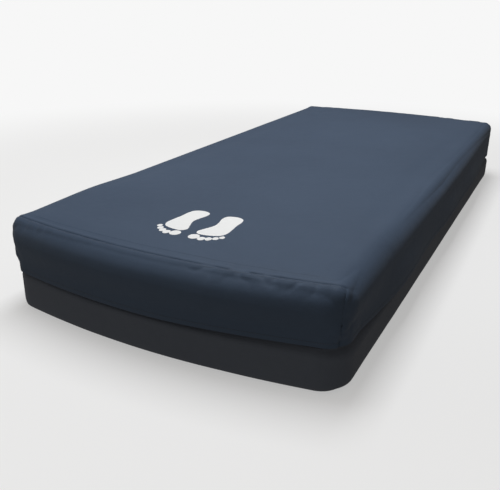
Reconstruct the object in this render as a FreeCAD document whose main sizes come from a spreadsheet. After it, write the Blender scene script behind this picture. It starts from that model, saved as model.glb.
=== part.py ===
import FreeCAD, Part
import os

import Sketcher

# A foam-and-air pressure relief mattress for a hospital bed, in millimetres.
# X runs across the bed, Y from the foot end (-Y) to the head end (+Y) and Z up.
# The origin is the middle of the underside.
#
# The cover is two halves that zip together on three sides: an upper half, wide and soft, and a
# narrower base tray. Inside are a fire barrier sock, a foam tub of base and bolsters, twelve
# foam-filled air cells on two manifold hoses, and a foam topper in two zones.
# Both ends bow outwards, so every layer's outline is two straight sides and two arcs.

V = FreeCAD.Vector
doc = FreeCAD.newDocument("pressure_relief_mattress")

SIZES = [
    # upper cover
    ("cover_width", 914, "across the long side walls"),
    ("corner_length", 2032, "between the two ends, at the corners"),
    ("cover_height", 250, "top of the cover above the deck"),
    ("end_bow", 45, "middle of each end, out past its corners"),
    ("corner_radius", 40, "upper cover's corners, in plan"),
    ("top_edge_radius", 32, "upper cover's top edge"),
    ("cover_thickness", 1.5, "coated cover fabric"),
    ("lip_bottom", 150.5, "underside of the upper cover's turned-in hem"),
    ("lip_thickness", 1.5, "turned-in hem"),
    ("seam_setback", 38, "seam of each end panel, in from the end"),
    ("mitre_reach", 90, "mitre of the end panels, each side of the corner"),
    # flap over the zip
    ("flap_bottom", 105, "hem of the flap"),
    ("flap_thickness", 1.2, "flap fabric"),
    ("flap_gap", 0.3, "between the flap and the cover's hem"),
    ("flap_split", 977, "half length of the flaps on the long sides"),
    ("flap_end_gap", 1, "between a side flap and an end flap"),
    # base tray
    ("base_inset", 12, "base wall, in from the upper cover"),
    ("base_corner_radius", 55, "base wall's corners, in plan"),
    ("base_thickness", 1.5, "base fabric"),
    ("base_wall_top", 118, "top of the base wall where the zip runs"),
    ("head_wall_start", 960, "where the base wall rises to meet the upper cover"),
    # zip
    ("tape_inset", 11.1, "zip tape's outer face, in from the upper cover"),
    ("tape_thickness", 0.8, "zip tape"),
    ("tape_end", 958, "both ends of the tapes"),
    ("lower_tape_bottom", 106, "lower edge of the lower tape"),
    ("coil_bottom", 126, "lower edge of the closed coil"),
    ("coil_top", 132, "upper edge of the closed coil"),
    ("coil_gap", 1.2, "between the coil's two halves"),
    ("coil_inset", 9.8, "coil's outer face, in from the upper cover"),
    ("coil_thickness", 2.2, "coil"),
    ("coil_end", 936, "both ends of the coil"),
    # zip slider and its pull tab
    ("slider_length", 20, "along the zip"),
    ("slider_width", 13, "across the zip"),
    ("slider_centre", 940, "where the slider is parked"),
    ("plate_thickness", 1.1, "slider's front and back plates"),
    ("front_plate_inset", 8.4, "front plate's outer face, in from the upper cover"),
    ("back_plate_inset", 12.3, "back plate's outer face, in from the upper cover"),
    ("rail_depth", 1.3, "guide rails on the front plate"),
    ("rail_width", 1.5, "guide rails on the front plate"),
    ("post_length", 7, "wedge that parts the coil"),
    ("post_thickness", 0.7, "wedge that parts the coil"),
    ("stud_radius", 1.6, "stud that the pull tab hangs on"),
    ("stud_length", 3, "stud that the pull tab hangs on"),
    ("stud_head_radius", 3.2, "head of that stud"),
    ("stud_head_thickness", 0.8, "head of that stud"),
    ("tab_thickness", 1.8, "pull tab"),
    ("tab_standoff", 0.6, "pull tab, clear of the front plate"),
    ("tab_length", 26, "stud to the middle of the tab's grip"),
    ("tab_eye_radius", 5, "round end at the stud"),
    ("tab_grip_radius", 6, "round end at the grip"),
    ("tab_clearance", 0.05, "stud in the tab's eye"),
    ("tab_hole_radius", 3, "finger hole in the grip"),
    # fire barrier sock
    ("sock_thickness", 0.8, "knitted sock"),
    ("nest_gap", 0.3, "between one layer and the next"),
    # foam
    ("base_foam_height", 30, "base layer"),
    ("transition_height", 43, "firm layer over the cells and bolsters"),
    ("layer_gap", 0.2, "between foam layers"),
    ("bolster_inner_x", 372, "inner face of the side bolsters"),
    ("bolster_inner_y", 920, "inner face of the end bolsters"),
    ("heel_line", -560, "where the heel zone meets the body zone"),
    ("kerf_width", 4, "cuts in the topper"),
    ("kerf_depth", 40, "cuts in the topper"),
    ("kerf_pitch", 100, "cuts in the body zone"),
    ("heel_kerf_pitch", 62, "cuts in the heel zone"),
    # air cells
    ("cell_pitch", 150, "from one cell to the next"),
    ("cell_width", 146, "along the bed"),
    ("cell_height", 119, "air cell"),
    ("cell_half_length", 338, "across the bed"),
    ("cell_radius", 45, "cell's long edges"),
    ("cell_end_radius", 15, "cell's end edges"),
    ("cell_wall", 1, "cell's film"),
    ("insert_gap", 8, "between a cell and its foam insert"),
    # air system
    ("hose_x", 356, "manifold hoses, each side of the middle"),
    ("hose_radius", 6, "outside of a manifold hose"),
    ("hose_bore_radius", 4, "inside of a manifold hose"),
    ("branch_radius", 5.5, "branch that takes a cell's port"),
    ("hose_foot_y", -880, "foot end of the hoses"),
    ("hose_head_y", 850, "head end of the hoses"),
    ("port_radius", 3.9, "spigot of a cell's port"),
    ("port_bore_radius", 2.6, "bore of that spigot"),
    ("port_end_x", 349, "outer end of that spigot"),
    ("port_start_x", 331, "inner end of that spigot"),
    ("port_flange_radius", 13, "flange welded to the cell"),
    ("port_flange_thickness", 1, "flange welded to the cell"),
    ("valve_radius", 12, "self-adjusting air valve"),
    ("valve_length", 26, "self-adjusting air valve"),
    ("cap_radius", 9, "filter cap on the valve"),
    ("cap_thickness", 5, "filter cap on the valve"),
    ("plug_depth", 10, "plug in a hose's head end"),
    ("plug_head_radius", 7, "plug in a hose's head end"),
]
CELL_COUNT = 12
LEFT, RIGHT = -1, 1

sheet = doc.addObject("Spreadsheet::Sheet", "sizes")
for row, (alias, value, meaning) in enumerate(SIZES, start=1):
    sheet.set(f"A{row}", alias)
    sheet.set(f"B{row}", str(value))
    sheet.set(f"C{row}", meaning)
    sheet.setAlias(f"B{row}", alias)
doc.recompute()
ALIASES = {alias for alias, value, meaning in SIZES}


def bound(expression):
    """The expression with each alias written as the sheet's own cell."""
    words = []
    word = ""
    for letter in str(expression) + " ":
        if letter.isalnum() or letter == "_":
            word += letter
            continue
        words.append(f"sizes.{word}" if word in ALIASES else word)
        words.append(letter)
        word = ""
    return "".join(words).strip()


def number(expression):
    """What an expression in the sheet's aliases comes to."""
    return float(sheet.evalExpression(bound(expression)))


def bind(thing, **properties):
    """Binds an object's sizes to expressions in the sheet's aliases."""
    for name, expression in properties.items():
        thing.setExpression(name.replace("__", "."), bound(expression))
    return thing


def add(kind, name):
    thing = doc.addObject(kind, name)
    thing.Label = name
    return thing


def origin_plane(body, role):
    return next(f for f in body.Origin.OriginFeatures if f.Role == role)


def start_sketch(body, name, role, offset="0"):
    """An empty sketch on one of its body's origin planes, moved along that plane's normal."""
    sketch = body.newObject("Sketcher::SketchObject", name)
    sketch.AttachmentSupport = [(origin_plane(body, role), "")]
    sketch.MapMode = "FlatFace"
    return bind(sketch, AttachmentOffset__Base__z=offset)


def place_point(sketch, geometry, end, across, up):
    """Fixes one end of a sketch line or arc at (across, up) from the sketch's origin."""
    for axis, expression in (("DistanceX", across), ("DistanceY", up)):
        value = number(expression)
        if abs(value) < 1e-9:
            kind = "PointOnObject"
            line = -2 if axis == "DistanceX" else -1
            sketch.addConstraint(Sketcher.Constraint(kind, geometry, end, line))
            continue
        ends = (-1, 1, geometry, end) if value > 0 else (geometry, end, -1, 1)
        index = sketch.addConstraint(Sketcher.Constraint(axis, *ends, abs(value)))
        sign = "" if value > 0 else "-1 * "
        bind(sketch, **{f"Constraints[{index}]": f"{sign}({expression})"})


def radius_of(sketch, geometry, expression):
    index = sketch.addConstraint(Sketcher.Constraint("Radius", geometry, number(expression)))
    bind(sketch, **{f"Constraints[{index}]": expression})


def join_ends(sketch, count):
    """Joins each of a closed outline's edges to the next."""
    for index in range(count):
        following = (index + 1) % count
        sketch.addConstraint(Sketcher.Constraint("Coincident", index, 2, following, 1))


def polygon_sketch(body, name, role, corners, offset="0"):
    """A closed outline of straight edges through corners, each an (across, up) pair."""
    sketch = start_sketch(body, name, role, offset)
    points = [V(number(across), number(up), 0) for across, up in corners]
    for index, point in enumerate(points):
        following = points[(index + 1) % len(points)]
        sketch.addGeometry(Part.LineSegment(point, following))
    join_ends(sketch, len(points))
    for index, (across, up) in enumerate(corners):
        place_point(sketch, index, 1, across, up)
    return sketch


def pad(body, name, sketch, length, midplane=False):
    feature = body.newObject("PartDesign::Pad", name)
    feature.Profile = sketch
    bind(feature, Length=length)
    feature.Midplane = midplane
    sketch.Visibility = False
    doc.recompute()
    return feature


def round_edges(body, name, base, chosen, radius):
    """Fillets the edges of base that chosen(edge) picks."""
    edges = [f"Edge{i}" for i, edge in enumerate(base.Shape.Edges, start=1) if chosen(edge)]
    feature = body.newObject("PartDesign::Fillet", name)
    feature.Base = (base, edges)
    bind(feature, Radius=radius)
    doc.recompute()
    return feature


def along(direction):
    """Picks the straight edges that run along a direction."""

    def chosen(edge):
        first, last = edge.Vertexes[0].Point, edge.Vertexes[-1].Point
        run = last - first
        return run.Length > 1e-6 and abs(abs(run.dot(direction)) - run.Length) < 1e-6

    return chosen


def at_level(height):
    """Picks the edges that lie wholly at one height."""

    def chosen(edge):
        box = edge.BoundBox
        return abs(box.ZMin - height) < 1e-4 and abs(box.ZMax - height) < 1e-4

    return chosen


# The bowed outline. Each end of the cover is an arc through its two corners, END_RADIUS in
# radius, about a centre ARC_CENTRE along Y. A layer set in by some inset keeps that centre,
# so that the layers nest.
END_RADIUS = "(((cover_width / 2) ^ 2 + end_bow ^ 2) / (2 * end_bow))"
ARC_CENTRE = f"(corner_length / 2 + end_bow - {END_RADIUS})"


def bowed_body(name, inset, corner, bottom, top, top_edge=None, half_width=None):
    """A block with straight long sides and bowed ends, set in from the upper cover's outline."""
    body = add("PartDesign::Body", name)
    half = half_width or f"(cover_width / 2 - ({inset}))"
    radius = f"({END_RADIUS} - ({inset}))"
    corner_y = f"({ARC_CENTRE} + sqrt({radius} ^ 2 - {half} ^ 2))"
    sketch = start_sketch(body, f"{name}_outline", "XY_Plane", bottom)
    x, y = number(half), number(corner_y)
    tip = number(f"{ARC_CENTRE} + {radius}")
    corners = [V(x, -y, 0), V(x, y, 0), V(-x, y, 0), V(-x, -y, 0)]
    sketch.addGeometry(Part.LineSegment(corners[0], corners[1]))
    sketch.addGeometry(Part.Arc(corners[1], V(0, tip, 0), corners[2]))
    sketch.addGeometry(Part.LineSegment(corners[2], corners[3]))
    sketch.addGeometry(Part.Arc(corners[3], V(0, -tip, 0), corners[0]))
    join_ends(sketch, 4)
    for line, side in ((0, RIGHT), (2, LEFT)):
        place_point(sketch, line, 1, f"{side} * {half}", f"{-side} * {corner_y}")
        place_point(sketch, line, 2, f"{side} * {half}", f"{side} * {corner_y}")
    for arc in (1, 3):
        radius_of(sketch, arc, radius)
    last = pad(body, f"{name}_pad", sketch, f"{top} - ({bottom})")
    if corner:
        last = round_edges(body, f"{name}_corners", last, along(V(0, 0, 1)), corner)
    if top_edge:
        last = round_edges(body, f"{name}_top_edge", last, at_level(number(top)), top_edge)
    return body


def box(name, x_range, y_range, z_range):
    """A block between two planes on each axis."""
    block = add("Part::Box", name)
    for side, axis, (low, high) in zip(
        ("Length", "Width", "Height"), "xyz", (x_range, y_range, z_range)
    ):
        bind(block, **{side: f"({high}) - ({low})", f"Placement__Base__{axis}": low})
    return block


TURNS = {
    "x": FreeCAD.Rotation(V(0, 1, 0), 90),
    "y": FreeCAD.Rotation(V(1, 0, 0), -90),
    "z": FreeCAD.Rotation(),
}


def rod(name, axis, radius, start, length):
    """A cylinder that starts at a point and runs along +X, +Y or +Z."""
    cylinder = add("Part::Cylinder", name)
    cylinder.Placement = FreeCAD.Placement(V(0, 0, 0), TURNS[axis])
    bind(cylinder, Radius=radius, Height=length)
    for letter, place in zip("xyz", start):
        bind(cylinder, **{f"Placement__Base__{letter}": place})
    return cylinder


def cut(name, base, tool):
    result = add("Part::Cut", name)
    result.Base, result.Tool = base, tool
    return result


def common(name, first, second):
    result = add("Part::Common", name)
    result.Base, result.Tool = first, second
    return result


def fuse(name, shapes):
    result = add("Part::MultiFuse", name)
    result.Shapes = shapes
    return result


def group(name, shapes):
    """Separate solids that share one node."""
    result = add("Part::Compound", name)
    result.Links = shapes
    return result


NODES = []


def node(thing):
    """Marks an object as a sub-part to hand over."""
    NODES.append(thing)
    return thing


WIDE = "cover_width / 2 + 100"
FAR = "corner_length / 2 + end_bow + 100"
EVERY_X = (f"-({WIDE})", WIDE)
EVERY_Y = (f"-({FAR})", FAR)


# Upper cover: one fabric panel over the top and down both long sides, and a panel at each end.
LIP_TOP = "(lip_bottom + lip_thickness)"
LIP_EDGE_INSET = "(tape_inset - 0.2)"


def offset_corner(inset):
    """A base-outline corner's radius at some inset, so that it stays parallel."""
    return f"(base_corner_radius + base_inset - ({inset}))"


def upper_cover():
    outer = bowed_body(
        "cover_outside", "0", "corner_radius", "lip_bottom", "cover_height", "top_edge_radius"
    )
    inner = bowed_body(
        "cover_inside",
        "cover_thickness",
        "corner_radius - cover_thickness",
        LIP_TOP,
        "cover_height - cover_thickness",
        "top_edge_radius - cover_thickness",
    )
    mouth = bowed_body(
        "cover_mouth", LIP_EDGE_INSET, offset_corner(LIP_EDGE_INSET), "lip_bottom - 5", f"{LIP_TOP} + 5"
    )
    shell = cut("cover_shell", outer, fuse("cover_hollow", [inner, mouth]))
    trim = bowed_body(
        "end_seams", "seam_setback", None, "0", "cover_height + 10", half_width="(cover_width / 2 + 60)"
    )
    beyond_seams = cut("beyond_seams", shell, trim)
    ends = [end_panel(beyond_seams, "foot", -1), end_panel(beyond_seams, "head", 1)]
    node(cut("top_cover_panel", shell, fuse("both_end_panels", ends)))


def end_panel(beyond_seams, end, side):
    """One end's panel, mitred at the cover's corners."""
    mitre = add("PartDesign::Body", f"{end}_mitre")
    inner = ("(cover_width / 2 - mitre_reach)", f"{side} * (corner_length / 2 - mitre_reach)")
    outer = ("(cover_width / 2 + mitre_reach)", f"{side} * (corner_length / 2 + mitre_reach)")
    outline = (inner, outer, (f"-{outer[0]}", outer[1]), (f"-{inner[0]}", inner[1]))
    sketch = polygon_sketch(mitre, f"{end}_mitre_outline", "XY_Plane", outline)
    pad(mitre, f"{end}_mitre_pad", sketch, "cover_height + 10")
    return node(common(f"{end}_end_panel", beyond_seams, mitre))


# Flap over the zip: a straight strip on each long side, and a curved one round each end.
FLAP_TOP = "(lip_bottom - flap_gap)"


def flaps():
    for name, side in (("right_flap", RIGHT), ("left_flap", LEFT)):
        face = "cover_width / 2"
        back = f"({face} - flap_thickness)"
        x_range = (back, face) if side == RIGHT else (f"-({face})", f"-{back}")
        y_range = ("-flap_split", "flap_split")
        node(box(name, x_range, y_range, ("flap_bottom", FLAP_TOP)))
    outer = bowed_body("flap_outside", "0", "corner_radius", "flap_bottom", FLAP_TOP)
    inner = bowed_body(
        "flap_inside",
        "flap_thickness",
        "corner_radius - flap_thickness",
        "flap_bottom - 5",
        f"{FLAP_TOP} + 5",
    )
    ring = cut("flap_ring", outer, inner)
    start = "(flap_split + flap_end_gap)"
    for end, y_range in (("foot", (f"-({FAR})", f"-{start}")), ("head", (start, FAR))):
        half = box(f"{end}_flap_half", EVERY_X, y_range, ("0", "cover_height"))
        node(common(f"{end}_flap", ring, half))


# Base tray: a bottom sheet and a wall. The wall rises to the upper cover at the head end,
# where there is no zip.
def base_tray():
    radius = "base_corner_radius"
    node(bowed_body("base_sheet", "base_inset", radius, "0", "base_thickness"))
    wall_inside = "(base_inset + base_thickness)"
    outer = bowed_body("wall_outside", "base_inset", radius, "base_thickness", LIP_TOP)
    inner = bowed_body(
        "wall_inside", wall_inside, offset_corner(wall_inside), "-5", f"{LIP_TOP} + 5"
    )
    ring = cut("full_wall", outer, inner)
    notch = box(
        "zip_notch", EVERY_X, (f"-({FAR})", "head_wall_start"), ("base_wall_top", f"{LIP_TOP} + 5")
    )
    node(cut("base_wall", ring, notch))


# Zip: it starts at the head end of the right side, runs round the foot and ends at the head
# end of the left side. Each half of the coil is a plain strip, and the two stand a little
# apart, so that the slider's wedge runs between them.
ZIP_LEVEL = "((coil_bottom + coil_top) / 2)"


def zip_tapes_and_coil():
    tape_back = "(tape_inset + tape_thickness)"
    coil_back = "(coil_inset + coil_thickness)"
    strips = (
        ("lower_zip_tape", "tape_inset", tape_back, "tape_end", "lower_tape_bottom", "coil_bottom"),
        ("upper_zip_tape", "tape_inset", tape_back, "tape_end", "coil_top", LIP_TOP),
        ("lower_zip_coil", "coil_inset", coil_back, "coil_end", "coil_bottom", f"{ZIP_LEVEL} - coil_gap / 2"),
        ("upper_zip_coil", "coil_inset", coil_back, "coil_end", f"{ZIP_LEVEL} + coil_gap / 2", "coil_top"),
    )
    for name, front, back, end, bottom, top in strips:
        outer = bowed_body(f"{name}_front", front, offset_corner(front), bottom, top)
        inner = bowed_body(
            f"{name}_back", back, offset_corner(back), f"{bottom} - 5", f"{top} + 5"
        )
        ring = cut(f"{name}_ring", outer, inner)
        reach = box(f"{name}_reach", EVERY_X, (f"-({FAR})", end), ("0", "cover_height"))
        node(common(name, ring, reach))


def from_right(inset):
    """An X just inside the upper cover's right wall."""
    return f"(cover_width / 2 - ({inset}))"


FRONT_PLATE_BACK = "(front_plate_inset + plate_thickness)"
BACK_PLATE_BACK = "(back_plate_inset + plate_thickness)"


def zip_slider():
    low_y = "(slider_centre - slider_length / 2)"
    high_y = "(slider_centre + slider_length / 2)"
    low_z = f"({ZIP_LEVEL} - slider_width / 2)"
    high_z = f"({ZIP_LEVEL} + slider_width / 2)"
    plates = []
    for label, front, back in (
        ("front_plate", "front_plate_inset", FRONT_PLATE_BACK),
        ("back_plate", "back_plate_inset", BACK_PLATE_BACK),
    ):
        body = add("PartDesign::Body", label)
        mouth = f"({high_y} - slider_length * 0.4)"
        taper = "(slider_width * 0.16)"
        outline = (
            (low_y, f"{low_z} + {taper}"),
            (mouth, low_z),
            (high_y, low_z),
            (high_y, high_z),
            (mouth, high_z),
            (low_y, f"{high_z} - {taper}"),
        )
        sketch = polygon_sketch(body, f"{label}_outline", "YZ_Plane", outline, from_right(back))
        plate = pad(body, f"{label}_pad", sketch, f"({back}) - ({front})")
        round_edges(body, f"{label}_corners", plate, along(V(1, 0, 0)), "2")
        plates.append(body)
    rails = []
    for label, low, high in (
        ("lower_rail", low_z, f"{low_z} + rail_width"),
        ("upper_rail", f"{high_z} - rail_width", high_z),
    ):
        x_range = (from_right(f"{FRONT_PLATE_BACK} + rail_depth"), from_right(FRONT_PLATE_BACK))
        y_range = (f"{high_y} - slider_length * 0.4", f"{high_y} - 2")
        rails.append(box(label, x_range, y_range, (low, high)))
    post = box(
        "wedge_post",
        (from_right("back_plate_inset"), from_right(FRONT_PLATE_BACK)),
        (f"{high_y} - 2 - post_length", f"{high_y} - 2"),
        (f"{ZIP_LEVEL} - post_thickness / 2", f"{ZIP_LEVEL} + post_thickness / 2"),
    )
    stud_x = from_right("front_plate_inset")
    stud = rod("tab_stud", "x", "stud_radius", (stud_x, "slider_centre", ZIP_LEVEL), "stud_length")
    head = rod(
        "tab_stud_head",
        "x",
        "stud_head_radius",
        (f"{stud_x} + stud_length", "slider_centre", ZIP_LEVEL),
        "stud_head_thickness",
    )
    node(fuse("zip_slider", plates + rails + [post, stud, head]))


def pull_tab():
    """Hangs from the slider's stud: a strap with a round eye, a round grip and a finger hole."""
    back = f"({from_right('front_plate_inset')} + tab_standoff)"
    grip_level = f"({ZIP_LEVEL} - tab_length)"
    strap = add("PartDesign::Body", "tab_strap")
    outline = (
        ("slider_centre - tab_eye_radius", ZIP_LEVEL),
        ("slider_centre - tab_grip_radius", grip_level),
        ("slider_centre + tab_grip_radius", grip_level),
        ("slider_centre + tab_eye_radius", ZIP_LEVEL),
    )
    pad(strap, "tab_pad", polygon_sketch(strap, "tab_outline", "YZ_Plane", outline, back), "tab_thickness")
    eye = rod("tab_eye", "x", "tab_eye_radius", (back, "slider_centre", ZIP_LEVEL), "tab_thickness")
    grip = rod("tab_grip", "x", "tab_grip_radius", (back, "slider_centre", grip_level), "tab_thickness")
    through = f"{back} - 1"
    length = "tab_thickness + 2"
    eye_radius = "stud_radius + tab_clearance"
    holes = [
        rod("tab_eye_hole", "x", eye_radius, (through, "slider_centre", ZIP_LEVEL), length),
        rod("tab_finger_hole", "x", "tab_hole_radius", (through, "slider_centre", grip_level), length),
    ]
    node(cut("zip_pull_tab", fuse("tab_blank", [strap, eye, grip]), fuse("tab_holes", holes)))


def zip_stops():
    """Two clamps that stop the slider at the closed end, and a box stop at the other end."""
    front, back = from_right("coil_inset"), from_right("tape_inset - 0.1")
    clamp_y = ("slider_centre + slider_length / 2 + 1", "slider_centre + slider_length / 2 + 4")
    lower = box("lower_top_stop", (back, front), clamp_y, ("coil_bottom - 1.5", "coil_bottom + 1"))
    upper = box("upper_top_stop", (back, front), clamp_y, ("coil_top - 1", "coil_top + 1.5"))
    stop_x = ("coil_inset + coil_thickness", "coil_inset - 0.2")
    bottom = box(
        "bottom_stop",
        tuple(f"-{from_right(inset)}" for inset in reversed(stop_x)),
        ("coil_end + 1", "coil_end + 6"),
        ("coil_bottom + 0.1", "coil_top - 0.1"),
    )
    node(group("zip_stops", [lower, upper, bottom]))


# Everything inside the cover follows one stepped outline: wide above the lip, narrow below it.
SOCK_WIDE = "(cover_thickness + nest_gap)"
SOCK_NARROW = "(base_inset + base_thickness + nest_gap)"
SOCK_BOTTOM = "(base_thickness + nest_gap)"
SOCK_SHELF = f"({LIP_TOP} + nest_gap)"
SOCK_TOP = "(cover_height - cover_thickness - nest_gap)"
FOAM_SHRINK = "(sock_thickness + nest_gap)"
FOAM_BOTTOM = f"({SOCK_BOTTOM} + {FOAM_SHRINK})"
FOAM_TOP = f"({SOCK_TOP} - {FOAM_SHRINK})"


def stepped_block(name, shrink):
    """The inside's stepped outline, shrunk on every face."""
    narrow = f"({SOCK_NARROW} + {shrink})"
    wide = f"({SOCK_WIDE} + {shrink})"
    lower = bowed_body(
        f"{name}_lower", narrow, offset_corner(narrow), f"{SOCK_BOTTOM} + {shrink}", f"{SOCK_SHELF} + 20"
    )
    upper = bowed_body(
        f"{name}_upper",
        wide,
        f"corner_radius - {wide}",
        f"{SOCK_SHELF} + {shrink}",
        f"{SOCK_TOP} - {shrink}",
        f"top_edge_radius - {wide}",
    )
    return fuse(name, [lower, upper])


def fire_sock():
    outside = stepped_block("sock_outside", "0")
    inside = stepped_block("sock_inside", "sock_thickness")
    node(cut("fire_barrier_sock", outside, inside))


BOLSTER_BOTTOM = f"({FOAM_BOTTOM} + base_foam_height + layer_gap)"
TRANSITION_BOTTOM = f"({SOCK_SHELF} + {FOAM_SHRINK})"
TRANSITION_TOP = f"({TRANSITION_BOTTOM} + transition_height)"


def foam_tub(envelope):
    """Base layer, two end bolsters, two side bolsters between them and a layer over the top."""
    layers = (
        ("base_foam", "0", f"{FOAM_BOTTOM} + base_foam_height"),
        ("transition_foam", TRANSITION_BOTTOM, TRANSITION_TOP),
    )
    for name, bottom, top in layers:
        node(common(name, envelope, box(f"{name}_slab", EVERY_X, EVERY_Y, (bottom, top))))
    levels = (BOLSTER_BOTTOM, f"{TRANSITION_BOTTOM} - layer_gap")
    inner_y = "bolster_inner_y"
    for end, y_range in (("foot", (f"-({FAR})", f"-{inner_y}")), ("head", (inner_y, FAR))):
        block = box(f"{end}_block", EVERY_X, y_range, levels)
        node(common(f"{end}_bolster", envelope, block))
    y_range = (f"-{inner_y} + layer_gap", f"{inner_y} - layer_gap")
    inner_x = "bolster_inner_x"
    for side, x_range in (("right", (inner_x, WIDE)), ("left", (f"-({WIDE})", f"-{inner_x}"))):
        block = box(f"{side}_block", x_range, y_range, levels)
        node(common(f"{side}_bolster", envelope, block))


def kerf_places(first, last, pitch):
    """Evenly pitched places, centred between first and last."""
    count = int((last - first) // pitch)
    start = (first + last - (count - 1) * pitch) / 2
    return [start + index * pitch for index in range(count)]


def foam_topper(envelope):
    """Castellated body zone, and a heel zone cut at a closer pitch, across the bed only."""
    kerf_z = (f"{FOAM_TOP} - kerf_depth", f"{FOAM_TOP} + 5")
    half_kerf = number("kerf_width") / 2
    foot = number("-(corner_length / 2)")
    heel = number("heel_line")
    head = number("corner_length / 2")
    zones = (
        ("heel_topper", (f"-({FAR})", "heel_line - layer_gap"), foot, heel, "heel_kerf_pitch", False),
        ("body_topper", ("heel_line + layer_gap", FAR), heel, head, "kerf_pitch", True),
    )
    levels = (f"{TRANSITION_TOP} + layer_gap", FOAM_TOP)
    for name, y_range, first, last, pitch, lengthwise in zones:
        blank = common(f"{name}_blank", envelope, box(f"{name}_zone", EVERY_X, y_range, levels))
        kerfs = []
        for index, y in enumerate(kerf_places(first, last, number(pitch)), start=1):
            across = (str(y - half_kerf), str(y + half_kerf))
            kerfs.append(box(f"{name}_cross_kerf_{index}", EVERY_X, across, kerf_z))
        half = number("cover_width / 2")
        rows = kerf_places(-half, half, number(pitch)) if lengthwise else []
        for index, x in enumerate(rows, start=1):
            across = (str(x - half_kerf), str(x + half_kerf))
            kerfs.append(box(f"{name}_long_kerf_{index}", across, y_range, kerf_z))
        node(cut(name, blank, fuse(f"{name}_kerfs", kerfs)))


# Air cells: foam-filled film tubes that lie across the bed. Their ports take turns to leave
# at the left and the right, where each side's manifold hose joins six of them.
CELL_BOTTOM = f"({BOLSTER_BOTTOM} + nest_gap)"
CELL_MIDDLE = f"({CELL_BOTTOM} + cell_height / 2)"


def cell_y(index):
    return f"({index} - {(CELL_COUNT - 1) / 2}) * cell_pitch"


def port_side(index):
    return LEFT if index % 2 == 0 else RIGHT


def rounded_tube(name, index, shrink):
    """A tube across the bed with large radii along it and small ones round its ends."""
    body = add("PartDesign::Body", name)
    half_width, half_height = f"(cell_width / 2 - {shrink})", f"(cell_height / 2 - {shrink})"
    middle = cell_y(index)
    outline = [
        (f"{middle} + {across} * {half_width}", f"{CELL_MIDDLE} + {up} * {half_height}")
        for across, up in ((-1, -1), (1, -1), (1, 1), (-1, 1))
    ]
    sketch = polygon_sketch(body, f"{name}_outline", "YZ_Plane", outline)
    last = pad(body, f"{name}_pad", sketch, f"2 * (cell_half_length - {shrink})", midplane=True)
    last = round_edges(body, f"{name}_long_edges", last, along(V(1, 0, 0)), f"cell_radius - {shrink}")
    end = number(f"cell_half_length - {shrink}")

    def round_an_end(edge):
        bounds = edge.BoundBox
        return bounds.XLength < 1e-4 and abs(abs(bounds.XMin) - end) < 1e-4

    round_edges(body, f"{name}_end_edges", last, round_an_end, f"cell_end_radius - {shrink} * 0.5")
    return body


def air_cells():
    inserts = []
    for index in range(CELL_COUNT):
        label = f"air_cell_{index + 1:02d}"
        outside = rounded_tube(f"{label}_outside", index, "0")
        inside = rounded_tube(f"{label}_inside", index, "cell_wall")
        hole_x = "cell_half_length - 4" if port_side(index) == RIGHT else "-cell_half_length - 4"
        hole = rod(f"{label}_port_hole", "x", "port_radius", (hole_x, cell_y(index), CELL_MIDDLE), "8")
        node(cut(label, outside, fuse(f"{label}_hollow", [inside, hole])))
        inserts.append(rounded_tube(f"cell_insert_{index + 1:02d}", index, "insert_gap"))
    node(group("cell_foam_inserts", inserts))


def cell_ports(side_name, side, places):
    """A flanged spigot on each of one side's cells."""
    start = "port_start_x" if side == RIGHT else "-port_end_x"
    length = "port_end_x - port_start_x"
    flange_x = "(cell_half_length + 0.1)"
    flange_start = flange_x if side == RIGHT else f"-({flange_x} + port_flange_thickness)"
    outsides = []
    bores = []
    for count, y in enumerate(places, start=1):
        label = f"{side_name}_port_{count}"
        flange = (flange_start, y, CELL_MIDDLE)
        outsides.append(rod(f"{label}_flange", "x", "port_flange_radius", flange, "port_flange_thickness"))
        spigot = (start, y, CELL_MIDDLE)
        outsides.append(rod(f"{label}_spigot", "x", "port_radius - 0.05", spigot, length))
        bores.append(rod(f"{label}_bore", "x", "port_bore_radius", spigot, length))
    body = fuse(f"{side_name}_ports_outside", outsides)
    node(cut(f"{side_name}_cell_ports", body, fuse(f"{side_name}_port_bores", bores)))


def manifold_hose(side_name, side, places):
    """A hose along one side, with a branch for each port."""
    hose_x = f"({side} * hose_x)"
    foot = (hose_x, "hose_foot_y", CELL_MIDDLE)
    run = "hose_head_y - hose_foot_y"
    pipes = [rod(f"{side_name}_hose_run", "y", "hose_radius", foot, run)]
    bores = [rod(f"{side_name}_hose_bore", "y", "hose_bore_radius", foot, run)]
    branch_x = "(cell_half_length + 3)"
    start = branch_x if side == RIGHT else hose_x
    length = f"hose_x - {branch_x}"
    for count, y in enumerate(places, start=1):
        branch = (start, y, CELL_MIDDLE)
        pipes.append(rod(f"{side_name}_branch_{count}", "x", "branch_radius", branch, length))
        bores.append(rod(f"{side_name}_branch_bore_{count}", "x", "hose_bore_radius", branch, length))
    body = fuse(f"{side_name}_hose_outside", pipes)
    node(cut(f"{side_name}_manifold_hose", body, fuse(f"{side_name}_hose_bores", bores)))


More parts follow.
